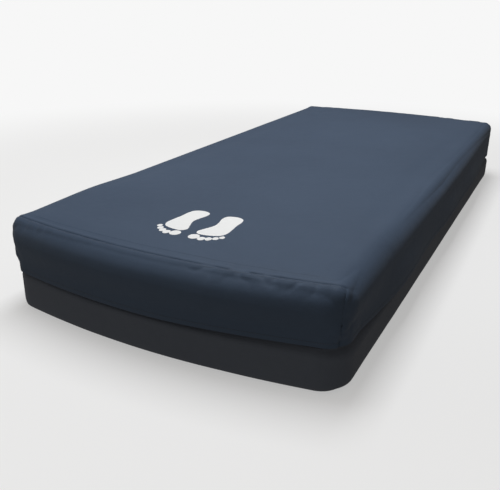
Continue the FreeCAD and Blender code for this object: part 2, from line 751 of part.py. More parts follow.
def pipework():
    """Each side's ports and hose, with an air valve at the foot end and a plug at the head."""
    caps = []
    plugs = []
    for side_name, side in (("left", LEFT), ("right", RIGHT)):
        places = [cell_y(index) for index in range(CELL_COUNT) if port_side(index) == side]
        cell_ports(side_name, side, places)
        manifold_hose(side_name, side, places)

        def along_hose(label, radius, y, length):
            start = (f"{side} * hose_x", y, CELL_MIDDLE)
            return rod(f"{side_name}_{label}", "y", radius, start, length)

        valve = along_hose("valve_body", "valve_radius", "hose_foot_y - 0.2 - valve_length", "valve_length")
        spigot = along_hose("valve_spigot", "port_radius", "hose_foot_y - 1", "plug_depth")
        node(fuse(f"{side_name}_air_valve", [valve, spigot]))
        cap_y = "hose_foot_y - 0.4 - valve_length - cap_thickness"
        caps.append(along_hose("cap", "cap_radius", cap_y, "cap_thickness"))
        head = along_hose("plug_head", "plug_head_radius", "hose_head_y + 0.1", "3")
        stem = along_hose("plug_stem", "port_radius", "hose_head_y - plug_depth", "plug_depth + 1")
        plugs.append(fuse(f"{side_name}_plug", [head, stem]))
    node(group("valve_filter_caps", caps))
    node(group("hose_end_plugs", plugs))


def check_and_export():
    """Stops on a failed object or a bad shape, then writes each node's STEP file."""
    doc.recompute()
    failed = [o.Label for o in doc.Objects if {"Invalid", "Error"} & set(o.State)]
    if failed:
        raise SystemExit(f"failed objects: {failed}")
    os.makedirs("parts", exist_ok=True)
    for old in os.listdir("parts"):
        os.remove(os.path.join("parts", old))
    for thing in NODES:
        shape = thing.Shape
        if shape.isNull() or not shape.isValid() or not shape.Solids:
            raise SystemExit(f"{thing.Label} has no valid solid")
        shape.exportStep(os.path.join("parts", f"{thing.Label}.step"))
        litres = shape.Volume / 1e6
        print(f"{thing.Label}: {len(shape.Solids)} solids, {litres:.4f} litres")


upper_cover()
flaps()
base_tray()
zip_tapes_and_coil()
zip_slider()
pull_tab()
zip_stops()
fire_sock()
foam_envelope = stepped_block("foam_envelope", FOAM_SHRINK)
foam_tub(foam_envelope)
foam_topper(foam_envelope)
air_cells()
pipework()
check_and_export()
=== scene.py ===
import math

import bpy
import numpy as np
from mathutils import Euler, Matrix, Vector, noise


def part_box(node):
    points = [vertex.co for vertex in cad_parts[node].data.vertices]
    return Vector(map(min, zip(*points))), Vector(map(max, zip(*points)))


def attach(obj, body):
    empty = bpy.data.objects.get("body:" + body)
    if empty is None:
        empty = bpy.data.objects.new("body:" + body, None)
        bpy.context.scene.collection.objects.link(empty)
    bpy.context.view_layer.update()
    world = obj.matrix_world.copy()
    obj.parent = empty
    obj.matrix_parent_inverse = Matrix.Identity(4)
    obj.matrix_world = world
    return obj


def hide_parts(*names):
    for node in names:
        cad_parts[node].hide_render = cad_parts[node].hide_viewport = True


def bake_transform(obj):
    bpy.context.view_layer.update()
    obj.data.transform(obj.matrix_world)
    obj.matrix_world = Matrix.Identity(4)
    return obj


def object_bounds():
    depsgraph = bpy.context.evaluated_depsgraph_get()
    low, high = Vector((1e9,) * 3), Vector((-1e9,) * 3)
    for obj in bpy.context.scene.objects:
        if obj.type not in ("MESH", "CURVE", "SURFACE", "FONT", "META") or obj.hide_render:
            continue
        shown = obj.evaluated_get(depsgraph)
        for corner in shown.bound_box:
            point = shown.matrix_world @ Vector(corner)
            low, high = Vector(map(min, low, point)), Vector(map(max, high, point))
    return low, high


# Looks for a foam-and-air pressure relief mattress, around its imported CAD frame. Metres, +Z up,
# foot end at -Y. The cover is one soft grid, cut into the panels and flaps that it is sewn from.

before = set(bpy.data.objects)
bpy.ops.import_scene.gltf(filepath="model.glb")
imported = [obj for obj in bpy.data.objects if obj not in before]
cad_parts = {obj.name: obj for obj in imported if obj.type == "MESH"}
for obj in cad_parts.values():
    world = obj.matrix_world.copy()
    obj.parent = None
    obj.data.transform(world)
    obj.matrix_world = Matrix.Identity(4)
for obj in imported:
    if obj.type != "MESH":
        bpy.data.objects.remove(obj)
cad_low, cad_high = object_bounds()

cover_low, cover_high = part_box("top_cover_panel")
flap_low, flap_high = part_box("right_flap")
coil_low, coil_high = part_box("lower_zip_coil")
base_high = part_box("base_sheet")[1]
wall_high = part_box("base_wall")[1]
tape_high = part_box("lower_zip_tape")[1]
sock_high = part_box("fire_barrier_sock")[1]

HALF_WIDTH = cover_high.x
END_BOW = 0.045
HALF_LENGTH = cad_high.y - END_BOW
TOP = cover_high.z
SEAM_LEVEL = cover_low.z
HEM = flap_low.z
FLAP_SPLIT = flap_high.y
BASE_INSET = cover_high.x - base_high.x


# ---------------- plain geometry


def smooth_step(value, low, high):
    """0 below low, 1 above high, and an even curve between them."""
    share = np.clip((value - low) / (high - low), 0, 1)
    return share * share * (3 - 2 * share)


def bow(x, y):
    """How far the bowed ends carry a point towards the nearer end."""
    return END_BOW * (1 - (x / HALF_WIDTH) ** 2) * y / HALF_LENGTH


def hump(values, middle, width):
    """1 at the middle, falling away evenly on both sides."""
    return np.exp(-(((values - middle) / width) ** 2))


def lines(low, high, count):
    """Both ends and the even steps between them."""
    return list(np.linspace(low, high, count + 1))


def mirrored(half):
    """Lines on both sides of 0 from the lines on one side, which start at 0."""
    return [-value for value in reversed(half[1:])] + half


def new_object(name, points, faces, materials):
    """A smooth-shaded mesh object in the scene."""
    mesh = bpy.data.meshes.new(name)
    mesh.from_pydata([tuple(p) for p in points], [], [tuple(f) for f in faces])
    for material in materials:
        mesh.materials.append(material)
    mesh.polygons.foreach_set("use_smooth", [True] * len(mesh.polygons))
    mesh.update()
    piece = bpy.data.objects.new(name, mesh)
    bpy.context.collection.objects.link(piece)
    return piece


def vertex_normals(points, faces):
    """Area-weighted normals, worked out from quads."""
    points = np.asarray(points)
    faces = np.asarray(faces)
    a, b, c, d = (points[faces[:, k]] for k in range(4))
    across = np.cross(c - a, d - b)
    normals = np.zeros_like(points)
    for corner in range(4):
        np.add.at(normals, faces[:, corner], across)
    return normals / np.maximum(np.linalg.norm(normals, axis=1, keepdims=True), 1e-12)


def noise_field(points, scale, seed):
    """Smooth noise from -1 to 1 at each point; scale is blobs per metre on each axis."""
    shift = Vector((seed * 13.1, seed * 7.7, seed * 3.3))
    return np.array(
        [noise.noise(Vector((p[0] * scale[0], p[1] * scale[1], p[2] * scale[2])) + shift) for p in points]
    )


# ---------------- materials


def feed(node, inputs):
    """Sets or links inputs of a node, and gives the node back."""
    for key, value in inputs.items():
        if isinstance(value, bpy.types.NodeSocket):
            node.id_data.links.new(value, node.inputs[key])
        else:
            node.inputs[key].default_value = value
    return node


def node_adder(tree):
    """A function that adds a node to a tree, with its settings and inputs."""

    def add(kind, inputs=None, **settings):
        node = tree.nodes.new(kind)
        for key, value in settings.items():
            setattr(node, key, value)
        return feed(node, inputs or {})

    return add


def shader(name):
    """A new node material, with its nodes, its node adder and the place on its surface."""
    material = bpy.data.materials.new(name)
    material.use_nodes = True
    add = node_adder(material.node_tree)
    place = add("ShaderNodeTexCoord").outputs["Object"]
    return material, material.node_tree.nodes, add, place


def tones(add, factor, dark, light):
    """A colour between two tones, picked by a noise factor, which lies mostly from 0.3 to 0.7."""
    ramp = add("ShaderNodeValToRGB", {"Fac": factor})
    for element, position, tone in zip(ramp.color_ramp.elements, (0.3, 0.7), (dark, light)):
        element.position = position
        element.color = (*tone, 1)
    return ramp.outputs["Color"]


def maths(add, operation, first, second):
    """The result of one operation on two sockets or numbers."""
    return add("ShaderNodeMath", {0: first, 1: second}, operation=operation).outputs[0]


def between(add, factor, low, high):
    """A value from low to high, as a factor goes from 0 to 1."""
    inputs = {"Value": factor, "To Min": low, "To Max": high}
    return add("ShaderNodeMapRange", inputs).outputs["Result"]


def blotches(add, place, scale, detail, **others):
    """Noise from 0 to 1 over a surface."""
    inputs = {"Vector": place, "Scale": scale, "Detail": detail, **others}
    return add("ShaderNodeTexNoise", inputs).outputs["Fac"]


def weave_height(add, place, pitch):
    """Over-and-under weave on any surface, from sines of the place along each axis."""
    scaled = add(
        "ShaderNodeVectorMath",
        {0: place, 1: (2 * math.pi / pitch,) * 3},
        operation="MULTIPLY",
    ).outputs[0]
    waves = add("ShaderNodeVectorMath", {0: scaled}, operation="SINE").outputs[0]
    split = add("ShaderNodeSeparateXYZ", {0: waves}).outputs
    pairs = [maths(add, "MULTIPLY", split[a], split[b]) for a, b in ((0, 1), (1, 2), (2, 0))]
    return maths(add, "ADD", maths(add, "ADD", pairs[0], pairs[1]), pairs[2])


def fabric(name, dark, light, roughness, pitch, relief, sheen, specular=0.4):
    """Coated fabric: broad tone changes, faint creasing and a weave of a fine pitch."""
    material, nodes, add, place = shader(name)
    broad = blotches(add, place, 2.3, 3.0)
    fine = blotches(add, place, 55.0, 4.0)
    mixed = maths(add, "ADD", maths(add, "MULTIPLY", broad, 0.75), maths(add, "MULTIPLY", fine, 0.25))
    crease = blotches(add, place, 9.0, 5.0, Roughness=0.55)
    creased = add("ShaderNodeBump", {"Height": crease, "Strength": 0.25, "Distance": 0.012})
    woven = add(
        "ShaderNodeBump",
        {
            "Height": weave_height(add, place, pitch),
            "Strength": relief,
            "Distance": pitch * 0.2,
            "Normal": creased.outputs["Normal"],
        },
    )
    feed(
        nodes["Principled BSDF"],
        {
            "Base Color": tones(add, mixed, dark, light),
            "Roughness": between(add, mixed, roughness - 0.06, roughness + 0.06),
            "Normal": woven.outputs["Normal"],
            "Sheen Weight": sheen,
            "Sheen Roughness": 0.45,
            "Specular IOR Level": specular,
        },
    )
    return material


def foam(name, dark, light, cells=900.0):
    """Open-cell foam: small pores in two sizes and a mottled tone."""
    material, nodes, add, place = shader(name)
    mottle = blotches(add, place, 14.0, 6.0)
    pores = add("ShaderNodeTexVoronoi", {"Vector": place, "Scale": cells}).outputs["Distance"]
    large = add("ShaderNodeTexVoronoi", {"Vector": place, "Scale": cells / 3.7}).outputs["Distance"]
    height = maths(add, "ADD", pores, maths(add, "MULTIPLY", large, 0.6))
    bump = add("ShaderNodeBump", {"Height": height, "Strength": 0.5, "Distance": 0.0008})
    feed(
        nodes["Principled BSDF"],
        {
            "Base Color": tones(add, mottle, dark, light),
            "Roughness": 0.95,
            "Normal": bump.outputs["Normal"],
            "Subsurface Weight": 0.1,
            "Subsurface Radius": (0.004, 0.003, 0.002),
        },
    )
    return material


def moulded(name, dark, light, roughness, metallic=0.0, grain=0.05):
    """Moulded plastic or cast metal: fine grain, rubbed patches and a little tone change."""
    material, nodes, add, place = shader(name)
    patches = blotches(add, place, 60.0, 5.0)
    fine = blotches(add, place, 2400.0, 2.0)
    bump = add("ShaderNodeBump", {"Height": fine, "Strength": grain, "Distance": 0.0004})
    feed(
        nodes["Principled BSDF"],
        {
            "Base Color": tones(add, patches, dark, light),
            "Roughness": between(add, patches, roughness - 0.08, roughness + 0.1),
            "Normal": bump.outputs["Normal"],
            "Metallic": metallic,
        },
    )
    return material


COVER = fabric("cover_fabric", (0.050, 0.075, 0.120), (0.060, 0.089, 0.140), 0.62, 0.0011, 0.12, 0.03, 0.15)
BASE = fabric("base_fabric", (0.084, 0.100, 0.132), (0.099, 0.117, 0.151), 0.68, 0.0016, 0.25, 0.03, 0.15)
TAPE = fabric("zip_tape_fabric", (0.018, 0.020, 0.023), (0.028, 0.030, 0.034), 0.75, 0.0009, 0.4, 0.2)
SOCK = fabric("fire_barrier_knit", (0.66, 0.63, 0.55), (0.78, 0.75, 0.68), 0.9, 0.0028, 0.6, 0.3)
THREAD = fabric("thread", (0.045, 0.055, 0.072), (0.06, 0.072, 0.092), 0.6, 0.0004, 0.4, 0.2)
PRINT = fabric("transfer_print", (0.86, 0.87, 0.88), (0.92, 0.93, 0.93), 0.5, 0.0011, 0.10, 0.0)
COIL = moulded("nylon_coil", (0.020, 0.021, 0.024), (0.034, 0.035, 0.038), 0.38)
METAL = moulded("enamelled_zinc", (0.05, 0.052, 0.056), (0.085, 0.087, 0.092), 0.35, 0.6, 0.08)
PORT = moulded("port_plastic", (0.52, 0.54, 0.56), (0.62, 0.64, 0.66), 0.45)
HOSE = moulded("hose_tube", (0.20, 0.22, 0.24), (0.27, 0.29, 0.31), 0.4)
VALVE = moulded("valve_plastic", (0.03, 0.06, 0.11), (0.05, 0.09, 0.15), 0.35)
CAP = moulded("filter_cap", (0.55, 0.56, 0.55), (0.68, 0.69, 0.67), 0.7, 0.0, 0.4)
FILM = fabric("cell_film", (0.10, 0.14, 0.19), (0.14, 0.18, 0.24), 0.35, 0.0012, 0.15, 0.0, 0.5)
FOAMS = {
    "base_foam": foam("base_foam", (0.27, 0.29, 0.32), (0.34, 0.37, 0.40)),
    "transition_foam": foam("support_foam", (0.66, 0.58, 0.34), (0.76, 0.68, 0.44)),
    "bolster_foam": foam("bolster_foam", (0.32, 0.36, 0.41), (0.40, 0.44, 0.50)),
    "heel_topper": foam("heel_foam", (0.24, 0.42, 0.33), (0.32, 0.50, 0.41), 1300.0),
    "body_topper": foam("topper_foam", (0.36, 0.44, 0.62), (0.44, 0.52, 0.70), 1300.0),
    "cell_foam_inserts": foam("insert_foam", (0.72, 0.69, 0.55), (0.82, 0.79, 0.66), 700.0),
}


def finish_hidden_nodes():
    """Gives each CAD node inside the cover, and the zip's hardware, its own material."""
    finishes = {
        "lower_zip_tape": TAPE,
        "upper_zip_tape": TAPE,
        "zip_slider": METAL,
        "zip_pull_tab": METAL,
        "zip_stops": METAL,
        "fire_barrier_sock": SOCK,
        "valve_filter_caps": CAP,
        "hose_end_plugs": PORT,
    }
    for side in ("left", "right"):
        finishes[f"{side}_cell_ports"] = PORT
        finishes[f"{side}_manifold_hose"] = HOSE
        finishes[f"{side}_air_valve"] = VALVE
        finishes[f"{side}_bolster"] = FOAMS["bolster_foam"]
    for end in ("foot", "head"):
        finishes[f"{end}_bolster"] = FOAMS["bolster_foam"]
    for name in ("base_foam", "transition_foam", "heel_topper", "body_topper", "cell_foam_inserts"):
        finishes[name] = FOAMS[name]
    for name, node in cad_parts.items():
        material = FILM if name.startswith("air_cell_") else finishes.get(name)
        if material:
            for slot in node.material_slots:
                slot.material = material


# ---------------- the soft cover

# The cover starts as a box of grid lines. Rounding its edges gives the shape before it is
# filled, and the cloth simulation fills it. EDGE_ACROSS and EDGE_DOWN are the rounding of the
# top edges, and CORNER_STEPS the lines in a rounded margin; the second of those lines meets
# the place where a side flap ends.
EDGE_ACROSS = 0.050
EDGE_DOWN = 0.050
INNER_X = HALF_WIDTH - EDGE_ACROSS
INNER_Y = HALF_LENGTH - EDGE_ACROSS
SPLIT_SINE = (FLAP_SPLIT - INNER_Y) / EDGE_ACROSS
SPLIT_STEP = EDGE_ACROSS * SPLIT_SINE / math.sqrt(1 - SPLIT_SINE**2)
CORNER_STEPS = [0, SPLIT_STEP, 0.020, 0.029, 0.038, EDGE_ACROSS]
SKIRT_TOP = SEAM_LEVEL + 0.0145

# How far the cover stands off the nominal size before it is filled, how its hems hang, and
# the most that filling may add on the top and on the sides.
LEFT_LOFT = 0.013
RIGHT_LOFT = 0.009
SIDE_SWELL = 0.003
END_LOFT = 0.009
END_SWELL = 0.009
TOP_LOFT = 0.002
SEAM_DROP = 0.003
HEM_INSET = 0.0022
LEFT_FLARE = 0.010
RIGHT_FLARE = 0.021
HEM_WAVE = 0.004
HEM_RISE = 0.009
HEM_SAG = 0.004
FILL_LIMIT_TOP = 0.004
FILL_LIMIT_SIDE = 0.008

# the rounding of the filling's own top edges
FILLING_EDGE = 0.030

# the turned hem's depth and height, and how far a seam's allowance turns in
HEM_FOLD = 0.0026
HEM_TURN_UP = 0.012
SEAM_TUCK = 0.005

X_LINES = mirrored(lines(0, INNER_X, 32) + [INNER_X + step for step in CORNER_STEPS[1:]])
Y_LINES = mirrored(lines(0, INNER_Y, 70) + [INNER_Y + step for step in CORNER_STEPS[1:]])
Z_LINES = (
    lines(HEM, SEAM_LEVEL, 4)
    + [SKIRT_TOP]
    + lines(SKIRT_TOP, TOP - EDGE_DOWN, 4)[1:]
    + lines(TOP - EDGE_DOWN, TOP, 5)[1:]
)
# Rows count up from the hem: the turn line, and the top of the strip that is cut with a flap.
SEAM_ROW = 4
SKIRT_ROW = 5
# the column where a side flap ends, counted from either end
SPLIT_COLUMN = 4
LAST_X, LAST_Y, LAST_Z = len(X_LINES) - 1, len(Y_LINES) - 1, len(Z_LINES) - 1

# places of the fine grid's lines beside a seam, in coarse steps from it
SEAM_STEPS = [0, 0.1, 0.22, 0.4, 0.65, 1.0, 1.5]


def rounded(x, y, z):
    """A point of the box of grid lines, carried onto the rounded cover."""
    inner_x = np.clip(x, -INNER_X, INNER_X)
    inner_y = np.clip(y, -INNER_Y, INNER_Y)
    inner = np.array([inner_x, inner_y, min(z, TOP - EDGE_DOWN)])
    scale = np.array([EDGE_ACROSS, EDGE_ACROSS, EDGE_DOWN])
    away = (np.array([x, y, z]) - inner) / scale
    across_end, rise = abs(away[1]), away[2]
    if across_end > 0 and rise > 0:
        # the end seams sit near the top of the rounded edge, not half way down it
        turn = math.atan2(across_end, rise) / (math.pi / 2)
        reach = math.hypot(across_end, rise)
        turned = turn**1.9 * math.pi / 2
        away[1] = math.copysign(reach * math.sin(turned), away[1])
        away[2] = reach * math.cos(turned)
    length = np.linalg.norm(away)
    return inner + scale * away / length if length > 0 else inner


def hem_stand_off(x, y):
    """How far a side hem hangs away from the nominal side: more in the middle, and wavy."""
    middle = float(smooth_step(HALF_LENGTH * 0.97 - abs(y), 0.0, 0.40))
    wave = 0.55 * math.sin(7.3 * y + 0.6 * math.copysign(1, x)) + 0.45 * math.sin(13.1 * y + 1.9)
    flare = RIGHT_FLARE if x > 0 else LEFT_FLARE
    return middle * (flare + HEM_WAVE * wave) - HEM_INSET


def headward(y):
    """0 over most of the length and 1 at the head end, where the cover is filled less tightly."""
    return smooth_step(y, 0.1, 0.95)


def hem_lift(x, y):
    """The hem rides up towards the right of the foot end, and sags a little on the right side."""
    foot = float(smooth_step(-y, 0.80, 1.0))
    at_right = float(smooth_step(x, -0.05, 0.40))
    sag = float(smooth_step(x, 0.40, 0.45)) * float(smooth_step(0.9 - abs(y), 0.0, 0.3))
    return HEM_RISE * foot * at_right - HEM_SAG * sag


def filled_shape(place):
    """The rounded cover, let out above its turn line and over the top, loose at its hem."""
    x, y, z = place
    rise = float(smooth_step(z, SEAM_LEVEL - 0.020, SEAM_LEVEL + 0.045))
    middle = 1 - (y / HALF_LENGTH) ** 2
    centre = 1 - (x / HALF_WIDTH) ** 2
    side = abs(x) / HALF_WIDTH
    end = abs(y) / HALF_LENGTH
    loft = (RIGHT_LOFT if x > 0 else LEFT_LOFT) * (1 - 0.8 * headward(y))
    side_out = rise * (loft + SIDE_SWELL * middle) + (1 - rise) * hem_stand_off(x, y)
    end_out = rise * (END_LOFT + HEM_INSET) - HEM_INSET + END_SWELL * centre
    up = TOP_LOFT * rise - SEAM_DROP * rise * end**24 + (1 - rise) * hem_lift(x, y)
    x += math.copysign(side**12 * side_out, x)
    y += math.copysign(end**24 * end_out, y)
    return np.array([x, y + bow(x, y), z + up])


def grid_faces(ids):
    """Quads between neighbouring entries of a grid of vertex numbers."""
    ids = np.asarray(ids)
    return np.stack([ids[:-1, :-1], ids[1:, :-1], ids[1:, 1:], ids[:-1, 1:]], axis=-1).reshape(-1, 4)


class Cover:
    """The cover's grid: its points, and the vertex numbers of each panel's rows."""

    def __init__(self):
        number = {}
        points = []
        for i, x in enumerate(X_LINES):
            for j, y in enumerate(Y_LINES):
                for k, z in enumerate(Z_LINES):
                    if i in (0, LAST_X) or j in (0, LAST_Y) or k == LAST_Z:
                        number[i, j, k] = len(points)
                        points.append(filled_shape(rounded(x, y, z)))
        self.points = np.array(points)
        over = (
            [(0, k) for k in range(LAST_Z)]
            + [(i, LAST_Z) for i in range(LAST_X + 1)]
            + [(LAST_X, k) for k in range(LAST_Z - 1, -1, -1)]
        )
        along, up = range(LAST_Y + 1), range(LAST_Z + 1)
        rightward, leftward = range(LAST_X + 1), range(LAST_X, -1, -1)
        self.top = np.array([[number[i, j, k] for j in along] for i, k in over])
        self.foot = np.array([[number[i, 0, k] for k in up] for i in rightward])
        self.head = np.array([[number[i, LAST_Y, k] for k in up] for i in leftward])
        self.hem = (
            [number[0, j, 0] for j in range(LAST_Y + 1)]
            + [number[i, LAST_Y, 0] for i in range(1, LAST_X + 1)]
            + [number[LAST_X, j, 0] for j in range(LAST_Y - 1, -1, -1)]
            + [number[i, 0, 0] for i in range(LAST_X - 1, 0, -1)]
        )

    def seam_vertices(self):
        """The seams round each end panel."""
        chosen = set()
        for panel in (self.foot, self.head):
            chosen.update(panel[:, -1].tolist())
            chosen.update(panel[0].tolist())
            chosen.update(panel[-1].tolist())
        return chosen


def evened(values, times):
    """Smooths a grid of values, keeping its border."""
    values = values.copy()
    for _ in range(times):
        around = values[:-2, 1:-1] + values[2:, 1:-1] + values[1:-1, :-2] + values[1:-1, 2:]
        values[1:-1, 1:-1] = 0.5 * values[1:-1, 1:-1] + 0.125 * around
    return values


def fill_cover(cover):
    """Blows the cover up as cloth, held at its hem and gathered along its seams, outwards only."""
    faces = [tuple(f) for panel in (cover.top, cover.foot, cover.head) for f in grid_faces(panel)]
    faces.append(tuple(cover.hem))
    piece = new_object("cover_simulation", cover.points, faces, [])
    held = piece.vertex_groups.new(name="held")
    held.add([int(v) for v in cover.hem], 1.0, "REPLACE")
    seams = piece.vertex_groups.new(name="seams")
    seams.add([int(v) for v in cover.seam_vertices()], 1.0, "REPLACE")
    cloth = piece.modifiers.new("fill", "CLOTH")
    settings = cloth.settings
    settings.quality = 5
    settings.mass = 0.3
    settings.tension_stiffness = 18
    settings.compression_stiffness = 12
    settings.shear_stiffness = 6
    settings.bending_stiffness = 0.8
    settings.use_pressure = True
    settings.uniform_pressure_force = 4
    settings.vertex_group_mass = "held"
    settings.vertex_group_shrink = "seams"
    settings.shrink_max = 0.05
    settings.effector_weights.gravity = 0
    for step in range(1, 21):
        bpy.context.scene.frame_set(step)
    result = piece.evaluated_get(bpy.context.evaluated_depsgraph_get()).data
    filled = np.array([v.co for v in result.vertices])
    bpy.context.scene.frame_set(1)
    bpy.data.objects.remove(piece)
    outward = vertex_normals(cover.points, faces[:-1])
    swell = np.maximum(np.sum((filled - cover.points) * outward, axis=1), 0)
    level = np.abs(outward[:, 2])
    slack = 1 - 0.5 * headward(cover.points[:, 1])
    limit = (FILL_LIMIT_SIDE * (1 - level) + FILL_LIMIT_TOP * level) * slack
    swell = limit * np.tanh(swell / limit)
    swell[cover.top] = evened(swell[cover.top], 8)
    cover.points = cover.points + outward * swell[:, None]


def spread(places, grid, axis):
    """Values of a grid at fractional places along one axis, on a smooth curve through them."""
    grid = np.moveaxis(grid, axis, 0)
    last = len(grid) - 1
    padded = np.concatenate([[2 * grid[0] - grid[1]], grid, [2 * grid[-1] - grid[-2]]])
    start = np.clip(np.floor(places).astype(int), 0, last - 1)
    share = (np.asarray(places) - start).reshape((-1,) + (1,) * (grid.ndim - 1))
    before, first, second, after = (padded[start + offset] for offset in range(4))
    slope_in = (second - before) / 2
    slope_out = (after - first) / 2
    bent = (
        (2 * share**3 - 3 * share**2 + 1) * first
        + (share**3 - 2 * share**2 + share) * slope_in
        + (3 * share**2 - 2 * share**3) * second
        + (share**3 - share**2) * slope_out
    )
    return np.moveaxis(bent, 0, axis)


def fine_places(last, seam_start, seam_end, per_step):
    """Places along an axis, so many to each grid step, and closer together beside a seam."""
    reach = SEAM_STEPS[-1]
    places = [step / per_step for step in range(int(last * per_step) + 1)]
    if seam_start:
        places = [p for p in places if p > reach]
    if seam_end:
        places = [p for p in places if p < last - reach]
    if seam_start:
        places = SEAM_STEPS + places
    if seam_end:
        places += [last - step for step in reversed(SEAM_STEPS)]
    return sorted(set(round(p, 6) for p in places))


def nearest_place(places, wanted):
    """Which of the places lies nearest to the wanted one."""
    return int(np.argmin(np.abs(np.array(places) - wanted)))


def arc_along(grid, axis):
    """Distance of each point along one axis of a grid, from that axis's first line."""
    grid = np.moveaxis(grid, axis, 0)
    steps = np.linalg.norm(np.diff(grid, axis=0), axis=-1)
    total = np.concatenate([np.zeros((1,) + steps.shape[1:]), np.cumsum(steps, axis=0)])
    return np.moveaxis(total, 0, axis)


def panel_normals(grid):
    """A normal for each point of a grid."""
    ids = np.arange(grid.shape[0] * grid.shape[1]).reshape(grid.shape[:2])
    return vertex_normals(grid.reshape(-1, 3), grid_faces(ids)).reshape(grid.shape)


def seam_relief(grid, distance, seed):
    """How far fabric sinks near a seam: a narrow channel, and thin puckers here and there."""
    relief = -0.0045 * np.exp(-((distance / 0.0022) ** 1.2))
    near = np.exp(-distance / 0.022) * smooth_step(distance, 0.0, 0.003)
    chosen = near > 0.03
    places = grid[chosen]
    folds = np.exp(-((noise_field(places, (24.0, 14.0, 24.0), seed) / 0.20) ** 2))
    rolls = noise_field(places, (22.0, 22.0, 22.0), seed + 2)
    patches = smooth_step(noise_field(places, (4.5, 4.5, 4.5), seed + 1), -0.05, 0.35)
    relief[chosen] += near[chosen] * (0.0010 * rolls - (0.0004 + 0.0034 * patches) * folds)
    return relief


def settle(grid):
    """Broad, shallow unevenness of a filled cover, with the rise and the dip of its long edges."""
    flat = grid.reshape(-1, 3)
    lying = smooth_step(flat[:, 2], TOP - 0.05, TOP)
    broad = 0.0022 * noise_field(flat, (2.1, 2.1, 4.0), 5) + 0.0007 * noise_field(flat, (7.0, 7.0, 9.0), 6)
    edge = (np.abs(flat[:, 0]) / HALF_WIDTH) ** 2
    rise = 0.006 * hump(flat[:, 1], -0.72, 0.15)
    dip = -0.003 * hump(flat[:, 1], -0.05, 0.25)
    moved = flat.copy()
    moved[:, 2] += lying * (broad + edge * (rise + dip))
    return moved.reshape(grid.shape)


def rest_on_filling(grid, clearance):
    """Pushes points out to the filling and a clearance off it, where they would sink into it."""
    flat = grid.reshape(-1, 3)
    half = np.array([sock_high.x, sock_high.y - END_BOW, 0]) - FILLING_EDGE
    level = sock_high.z - FILLING_EDGE
    square = flat - np.outer(bow(flat[:, 0], flat[:, 1]), (0, 1, 0))
    core = np.column_stack([np.clip(square[:, :2], -half[:2], half[:2]), np.minimum(square[:, 2], level)])
    away = square - core
    reach = np.maximum(np.linalg.norm(away, axis=1), 1e-9)
    short = np.maximum(FILLING_EDGE + np.ravel(clearance) - reach, 0)
    short = short * smooth_step(square[:, 2], SEAM_LEVEL - 0.025, SEAM_LEVEL - 0.001)
    return (flat + away * (short / reach)[:, None]).reshape(grid.shape)


def folded_hem(grid, axis, at_start):
    """Adds a turned hem: three rows that go round the edge and up inside it."""
    grid = np.moveaxis(grid, axis, 0)
    normals = np.moveaxis(panel_normals(np.moveaxis(grid, 0, axis)), axis, 0)
    edge, normal = (grid[0], normals[0]) if at_start else (grid[-1], normals[-1])
    normal = normal * (1, 1, 0)
    normal = normal / np.maximum(np.linalg.norm(normal, axis=-1, keepdims=True), 1e-9)
    inner = edge - HEM_FOLD * normal
    fold = edge - HEM_FOLD / 2 * normal - (0, 0, 0.0007)
    rows = np.array([inner + (0, 0, HEM_TURN_UP), inner + (0, 0, 0.0006), fold])
    grid = np.concatenate([rows, grid]) if at_start else np.concatenate([grid, rows[::-1]])
    return np.moveaxis(grid, 0, axis)


def tucked_seam(grid, normals, axis, at_start):
    """Adds the seam allowance: one row that turns inwards."""
    grid = np.moveaxis(grid, axis, 0)
    normals = np.moveaxis(normals, axis, 0)
    if at_start:
        grid = np.concatenate([[grid[0] - SEAM_TUCK * normals[0]], grid])
    else:
        grid = np.concatenate([grid, [grid[-1] - SEAM_TUCK * normals[-1]]])
    return np.moveaxis(grid, 0, axis)


class Panel:
    """One cover panel as a fine grid, with the place of each of its rows and columns."""

    def __init__(self, coarse, rows, columns, seams, seed):
        grid = spread(columns, spread(rows, coarse, 0), 1)
        distances = []
        for axis, at_start in seams:
            reach = arc_along(grid, axis)
            last = np.take(reach, [-1], axis=axis)
            distances.append(reach if at_start else last - reach)
        distance = np.min(distances, axis=0)
        grid = rest_on_filling(settle(grid), 0.0006 + 0.0030 * np.exp(-distance / 0.025))
        sunk = grid + panel_normals(grid) * seam_relief(grid, distance, seed)[..., None]
        self.grid = rest_on_filling(sunk, 0.0004)
        self.rows, self.columns = list(rows), list(columns)
        for axis, at_start in seams:
            tucked = tucked_seam(self.grid, panel_normals(self.grid), axis, at_start)
            self.extend(tucked, axis, at_start, 1)

    def extend(self, grid, axis, at_start, count):
        """Takes on a grid that has gained rows or columns outside its edge."""
        self.grid = grid
        places = self.rows if axis == 0 else self.columns
        step = 0.01
        if at_start:
            places[:0] = [places[0] - step * (count - n) for n in range(count)]
        else:
            places.extend(places[-1] + step * (n + 1) for n in range(count))

    def hem(self, axis, at_start):
        """Turns a hem along one edge."""
        self.extend(folded_hem(self.grid, axis, at_start), axis, at_start, 3)

    def cut(self, wanted):
        """Points, quads and normals of the cells for which wanted(row, column) is true."""
        rows, columns = np.array(self.rows), np.array(self.columns)
        middle = np.meshgrid((rows[:-1] + rows[1:]) / 2, (columns[:-1] + columns[1:]) / 2, indexing="ij")
        keep = wanted(*middle)
        ids = np.arange(self.grid.shape[0] * self.grid.shape[1]).reshape(self.grid.shape[:2])
        faces = grid_faces(ids).reshape(keep.shape + (4,))[keep]
        used, faces = np.unique(faces, return_inverse=True)
        flat_normals = panel_normals(self.grid).reshape(-1, 3)
        return self.grid.reshape(-1, 3)[used], faces.reshape(-1, 4), flat_normals[used]


